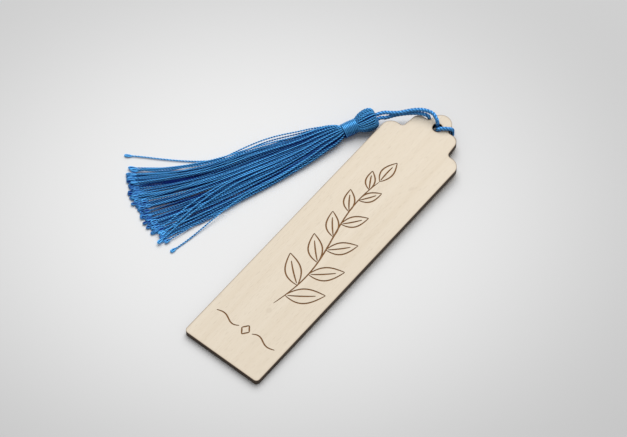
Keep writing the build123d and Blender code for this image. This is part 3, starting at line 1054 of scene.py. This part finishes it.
# The strands' own form: an arc of tips, the grid of a strand, a nudge that keeps its ridge's direction from
# being none, and the shape of the loop at its tip
TIP_ARC = 0.0042
POINTS_PER_TWIST = 6
TIP_STATIONS = 15
STRAND_SIDES = 5
STRAND_HINT = UP + 0.05 * SIDEWAYS
NUDGE = 1e-7 * ONWARD
TIP_SLIMNESS = 1.2
TIP_FATNESS = 1.6

# Their painted shade: over what depth under the bundle's faces it grows, and where tips, edges and the left stray
# come out of it. A tip's spans are measured from its end
STRAND_RIDGE = 1.6
BURIED_DEPTH = 0.0010
BURIED_SHADE = 0.74
TIP_COVER = 0.0004
TIP_COVER_SPAN = (-0.006, -0.002)
TIP_BARE = 0.5
TIP_BARE_SPAN = (-0.007, -0.002)
EDGE_BARE = 0.8
EDGE_BARE_SPAN = (0.8, 1.0)
STRAY_BARE_SPAN = (0.040, 0.060)

# Strands that leave the fan: how far sideways, from where to where, where the left one ends, and where the
# right one sinks to the table
LEFT_STRAY = (0.0094, 0.046, 0.096)
LEFT_STRAY_END = 0.0915
RIGHT_STRAY = (0.0088, 0.050, 0.096)
RIGHT_STRAY_SINKS = (0.060, 0.085)

# Two strands that hang loose below the neck, and some of the top row that cross their neighbours
LOOSE_SPAN = (0.007, 0.054)
LOOSE_REACH = 0.0021
LOOSE_LIFT = 0.0010
LOOSE_ROWS = {1: 0.55, 2: 1.0}
LOOSE_BOW = 1.3
CROSSING_STRANDS = {13: 0.65, 15: 0.75, 17: 0.68}
CROSSING_SPAN = (0.050, 0.0975)
CROSSING_LIFT = 0.0010
CROSSING_RISES = (0.035, 0.055)
CROSSING_SINKS = (0.075, 0.094)
# Painted light: the crossing strands, which lie on top, are painted lighter
CROSSING_PAINTED_LIGHT = 0.2


def skirt_at(values, s):
    """One line of the skirt's form, at distances from the neck."""
    return eased(SKIRT_STATIONS, values, s)


def bundle(s):
    """The skirt's middle and half of its height, and how round it still is."""
    low, high = skirt_at(SKIRT_LOW, s), skirt_at(SKIRT_HIGH, s)
    return (high + low) / 2, (high - low) / 2, 1 - smooth_step(*ROUND_SPAN, s)


class SkirtRow:
    """One row of looped strands: where each strand runs, worked out for all its points at once."""

    def __init__(self, row, tassel, rng):
        count = tassel.row_strands

        def uneven(size):
            return rng.normal(0, size, (count, 1))

        self.full = tassel.skirt_length
        self.lowest, self.highest = row == 0, row == ROWS - 1
        self.loose = LOOSE_ROWS.get(row, 0)
        self.rank = 2 * row / (ROWS - 1) - 1
        self.place = np.arange(count)[:, None]
        self.first, self.last = self.place == 0, self.place == count - 1
        self.share = 2 * (self.place + 0.5 + ROW_STAGGER[row]) / count - 1 + uneven(UNEVEN_PLACE)
        self.inside = np.clip(self.share, -1, 1)
        self.bowed = 1 - np.sqrt(1 - self.inside**2 / 2)
        self.drift = uneven(UNEVEN_DRIFT + UNEVEN_DRIFT * row)
        self.sway = uneven(UNEVEN_SWAY)
        self.sway_length = rng.uniform(*SWAY_LENGTHS, (count, 1))
        self.sway_phase = rng.uniform(0, 2 * np.pi, (count, 1))
        self.lift = uneven(UNEVEN_LIFT)
        self.tip_turn = uneven(UNEVEN_TURN)
        # Painted light and shade: the row's part paints lower rows darker and the top row lighter; the random part
        # is the floss's own tone
        self.tone = ROW_PAINTED_LIGHT[row] + rng.normal(0.0, UNEVEN_TONE, count)
        self.end = self.full - ROW_SETBACK * row - TIP_ARC * self.share**2 - np.abs(uneven(UNEVEN_END))
        self.over = np.zeros((count, 1))
        if self.lowest:
            self.end[0] = LEFT_STRAY_END
        if self.highest:
            self.over[list(CROSSING_STRANDS), 0] = list(CROSSING_STRANDS.values())
            # Painted light: crossing strands, which lie on top, are painted lighter
            self.tone = self.tone + CROSSING_PAINTED_LIGHT * self.over[:, 0]

    def loosened(self, s):
        """How far the first strand of a middle row has come loose: a smooth bump over its span."""
        way = np.clip((s - LOOSE_SPAN[0]) / (LOOSE_SPAN[1] - LOOSE_SPAN[0]), 0, 1)
        return np.sin(np.pi * way) ** LOOSE_BOW * self.first * self.loose

    def sideways(self, s):
        """Its share of the way between the skirt's edges, drawn in while round, with sway and strays."""
        left, right = skirt_at(SKIRT_LEFT, s), skirt_at(SKIRT_RIGHT, s)
        narrow = 1 - (1 - math.sqrt(1 - self.rank**2 / 2)) * bundle(s)[2]
        grown = smooth_step(DRIFT_START, self.full, s)
        share = self.share + self.drift * grown + self.over * smooth_step(*CROSSING_SPAN, s)
        across = (left + right) / 2 + share * (right - left) / 2 * narrow
        across = across + self.sway * grown * np.sin(2 * np.pi * s / self.sway_length + self.sway_phase)
        across = across - LOOSE_REACH * self.loosened(s)
        if self.lowest:
            across = across - self.first * LEFT_STRAY[0] * smooth_step(*LEFT_STRAY[1:], s)
        if self.highest:
            across = across + self.last * RIGHT_STRAY[0] * smooth_step(*RIGHT_STRAY[1:], s)
        return across

    def height(self, s):
        """Its row's level in a bundle round at the neck and flat below, with its tier, its lift and its strays."""
        middle, half, roundness = bundle(s)
        tier = self.place % len(TIER_NECK)
        fanned = smooth_step(*FAN_SPAN, s)
        if self.rank > 0:
            level = middle + half * self.rank * (1 - self.bowed)
            level = level - TIER_NECK[tier] * (1 - fanned) - TIER_FAN[tier] * fanned
        else:
            level = middle + half * self.rank * (1 - self.bowed * roundness)
            level = level + TIER_NECK[tier] * (1 - fanned)
        level = level + self.lift * smooth_step(*LIFT_SPAN, s) + LOOSE_LIFT * self.loosened(s)
        crossing = self.over * CROSSING_LIFT * smooth_step(*CROSSING_RISES, s)
        level = level + crossing * (1 - smooth_step(*CROSSING_SINKS, s))
        if self.highest:
            stray = self.last * smooth_step(*RIGHT_STRAY_SINKS, s)
            level = level * (1 - stray) + skirt_at(SKIRT_LOW, s) * stray
        return np.maximum(level, SKIRT_LOW[-1])

    def depths(self, s, height):
        """How deep it lies under the bundle's upper face and above its lower one, each from 0 to 1, as painted
        shade.
        """
        middle, half, roundness = bundle(s)
        round_top = np.sqrt(1 - self.inside**2 * (1 - self.rank**2 / 2))
        upper = middle + half * (round_top * roundness + (1 - self.bowed) * (1 - roundness))
        lower = middle - half * (round_top * roundness + 1 - roundness)
        upper = upper + TIP_COVER * smooth_step(*TIP_COVER_SPAN, s - self.end)
        covered = 1 - TIP_BARE * smooth_step(*TIP_BARE_SPAN, s - self.end)
        covered = covered * (1 - EDGE_BARE * smooth_step(*EDGE_BARE_SPAN, np.abs(self.inside)))
        if self.lowest:
            covered = covered * (1 - self.first * smooth_step(*STRAY_BARE_SPAN, s))
        return [np.clip(depth / BURIED_DEPTH, 0, 1) * covered for depth in (upper - height, height - lower)]

    def rings(self, tassel):
        """Each strand is one thread: out as one ply, round a loop at the tip, and back as the other."""
        offset = tassel.ply_radius
        steps = int(self.full / tassel.twist * POINTS_PER_TWIST)
        start = SKIRT_STATIONS[0]
        bend = self.end - tassel.tip_length
        out = start + (bend - start) * np.linspace(0, 1, steps)[None]
        tau = np.linspace(0, 2 * np.pi, TIP_STATIONS + 2)[1:-1]
        loop = self.end - tassel.tip_length * (1 + np.cos(tau)) / 2
        s = np.concatenate([out, loop, out[:, ::-1]], axis=1)
        opening = offset * np.cos(tau / 2) + tassel.tip_swell * np.sin(tau) * np.sin(tau / 2) ** TIP_SLIMNESS
        stand_off = np.concatenate([np.full(steps, offset), opening, np.full(steps, -offset)])
        turn = 2 * np.pi * (np.minimum(s, bend) - bend) / tassel.twist + self.tip_turn
        radii = tassel.ply_radius * (1 + np.pad(TIP_FATNESS * np.sin(tau / 2), steps))
        height = self.height(s)
        heart = NECK_END * (1, 1, 0) + spread(s) * ONWARD + spread(self.sideways(s)) * SIDEWAYS
        heart = heart + spread(height) * UP
        paths = heart + spread(stand_off * np.cos(turn)) * SIDEWAYS + spread(stand_off * np.sin(turn)) * UP
        paths[..., 2] = np.maximum(paths[..., 2], radii)
        rings = tube_rings(paths, radii, STRAND_SIDES, STRAND_HINT)
        # Painted shade: darker between the plies, and where a strand lies under others, on its upper or lower side
        ridge = unit(paths - heart + NUDGE)
        between_plies = turned_in(rings, paths, ridge) ** STRAND_RIDGE
        underside = turned_in(rings, paths, UP) ** 2
        from_above, from_below = self.depths(s, height)
        buried = spread(from_above) * (1 - underside) + spread(from_below) * underside
        return rings, shaded(between_plies, BURIED_SHADE * buried)


class BOOKMARK_OT_spread_skirt(bpy.types.Operator):
    """Fans the tassel's looped strands over the table, row by row"""

    bl_idname = "bookmark.spread_skirt"
    bl_label = "Spread the skirt"

    def execute(self, context):
        tassel = context.scene.bookmark_tassel
        rng = np.random.default_rng(tassel.seed + 2)
        floss = yarn("skirt_yarn", tassel.deep, tassel.bright)
        strands = sorted(name for name in frame["nodes"] if name.startswith("skirt_strand_"))
        share = len(strands) // ROWS
        for row in range(ROWS):
            strand_row = SkirtRow(row, tassel, rng)
            rings, painted_shades = strand_row.rings(tassel)
            mesh = skin(f"skirt_row_{row + 1}", rings, strand_row.tone, painted_shades)
            piece = add_piece(f"skirt_row_{row + 1}", mesh, floss)
            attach(piece, "tassel")
            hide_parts(*strands[row * share : (row + 1) * share])
            if row == 0:
                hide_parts("skirt_root")
        return {"FINISHED"}


# The floor: its half width, how far it lies under the object, and the middle of a painted pool of light on it, as
# wide and deep as this
FLOOR_HALF = 3.0
FLOOR_DROP = 0.00002
FLOOR_HEART = np.array([-0.030, -0.014, 0.0])
FLOOR_LIT_POOL = (0.134, 0.111)
FLOOR_FADE = (0.3, 1.5)
KEY_PLACE = (-0.517, 0.785, 1.535)
KEY_SIZE = 1.8
VIEW_TARGET = np.array([-0.01306, 0.00040, 0.003])
SENSOR_WIDTH = 36.0


def floor_paint(stage):
    """A pale floor with a painted pool of light: painted darker softly away from its middle, sooner along the
    view's height than its width.
    """
    paint = Paint("studio_floor")
    place = paint.coordinates()
    rightward = np.array([math.cos(stage.azimuth), math.sin(stage.azimuth), 0.0])
    upward = np.cross(UP, rightward)
    wide = (place.dot(rightward) - float(FLOOR_HEART @ rightward)) / FLOOR_LIT_POOL[0]
    deep = (place.dot(upward) - float(FLOOR_HEART @ upward)) / FLOOR_LIT_POOL[1]
    share = ((wide**2 + deep**2) ** 0.5).rise(*FLOOR_FADE)
    return paint.surface({
        "Base Color": paint.mix(share, stage.floor, stage.painted_floor_dimming),
        "Roughness": 0.9,
        "Specular IOR Level": 0.1,
    })


class BOOKMARK_OT_set_stage(bpy.types.Operator):
    """Lays the floor, hangs the lights and sets the camera"""

    bl_idname = "bookmark.set_stage"
    bl_label = "Set the stage"

    def execute(self, context):
        stage = context.scene.bookmark_stage
        context.scene.view_settings.view_transform = "Standard"
        self.lay_floor(stage)
        self.hang_lights(context, stage)
        self.set_camera(context, stage)
        return {"FINISHED"}

    def lay_floor(self, stage):
        """A flat square just under the object."""
        corners = [(x * FLOOR_HALF, y * FLOOR_HALF, -FLOOR_DROP) for x, y in ((-1, -1), (1, -1), (1, 1), (-1, 1))]
        mesh = bpy.data.meshes.new("floor")
        mesh.from_pydata(corners, [], [(0, 1, 2, 3)])
        mesh.materials.append(floor_paint(stage))
        floor = placed("floor", mesh)

    def hang_lights(self, context, stage):
        """An even sky and one large lamp, high up on the far side of the object."""
        world = bpy.data.worlds.new("studio")
        world.use_nodes = True
        background = world.node_tree.nodes["Background"].inputs
        background["Strength"].default_value = stage.sky
        background["Color"].default_value = (1.0, 1.0, 1.0, 1.0)
        context.scene.world = world
        lamp = bpy.data.lights.new("key", "AREA")
        lamp.size = KEY_SIZE
        lamp.energy = stage.key_power
        self.aim("key", lamp, KEY_PLACE, -Vector(KEY_PLACE))

    def set_camera(self, context, stage):
        """A long lens above and to the right of the tag's plain end."""
        level = math.cos(stage.elevation)
        back = np.array([
            math.sin(stage.azimuth) * level,
            -math.cos(stage.azimuth) * level,
            math.sin(stage.elevation),
        ])
        lens = bpy.data.cameras.new("camera")
        lens.lens = stage.lens
        lens.sensor_width = SENSOR_WIDTH
        lens.sensor_fit = "HORIZONTAL"
        context.scene.camera = self.aim("camera", lens, VIEW_TARGET + back * stage.distance, -Vector(back))

    def aim(self, name, data, place, direction):
        """A lamp or camera at a place, looking in a direction."""
        aimed = placed(name, data)
        aimed.location = place
        aimed.rotation_mode = "QUATERNION"
        aimed.rotation_quaternion = direction.to_track_quat("-Z", "Y")
        return aimed


OPERATORS = (
    BOOKMARK_OT_set_stage,
    BOOKMARK_OT_finish_plies,
    BOOKMARK_OT_engrave_face,
    BOOKMARK_OT_hitch_cord,
    BOOKMARK_OT_fold_head,
    BOOKMARK_OT_bind_neck,
    BOOKMARK_OT_spread_skirt,
)


class BOOKMARK_PT_panel(bpy.types.Panel):
    """Lists the bookmark's pieces and their settings"""

    bl_idname = "BOOKMARK_PT_panel"
    bl_label = "Bookmark"
    bl_space_type = "VIEW_3D"
    bl_region_type = "UI"
    bl_category = "Bookmark"

    def draw(self, context):
        for operator in OPERATORS:
            self.layout.operator(operator.bl_idname)
        for group in SETTINGS:
            box = self.layout.box()
            settings = getattr(context.scene, group)
            for name in settings.__annotations__:
                box.prop(settings, name)


SETTINGS = {
    "bookmark_wood": WoodSettings,
    "bookmark_cord": CordSettings,
    "bookmark_tassel": TasselSettings,
    "bookmark_stage": StageSettings,
}
CLASSES = (*SETTINGS.values(), *OPERATORS, BOOKMARK_PT_panel)


def register():
    """Makes the settings, operators and panel known."""
    for made in CLASSES:
        bpy.utils.register_class(made)
    for name, group in SETTINGS.items():
        setattr(bpy.types.Scene, name, bpy.props.PointerProperty(type=group))


def unregister():
    """Takes them away again."""
    for name in SETTINGS:
        delattr(bpy.types.Scene, name)
    for made in reversed(CLASSES):
        bpy.utils.unregister_class(made)


def main():
    """Builds the bookmark piece by piece."""
    register()
    bpy.ops.bookmark.set_stage()
    bpy.ops.bookmark.finish_plies()
    bpy.ops.bookmark.engrave_face()
    bpy.ops.bookmark.hitch_cord()
    bpy.ops.bookmark.fold_head()
    bpy.ops.bookmark.bind_neck()
    bpy.ops.bookmark.spread_skirt()


if __name__ == "__main__":
    main()
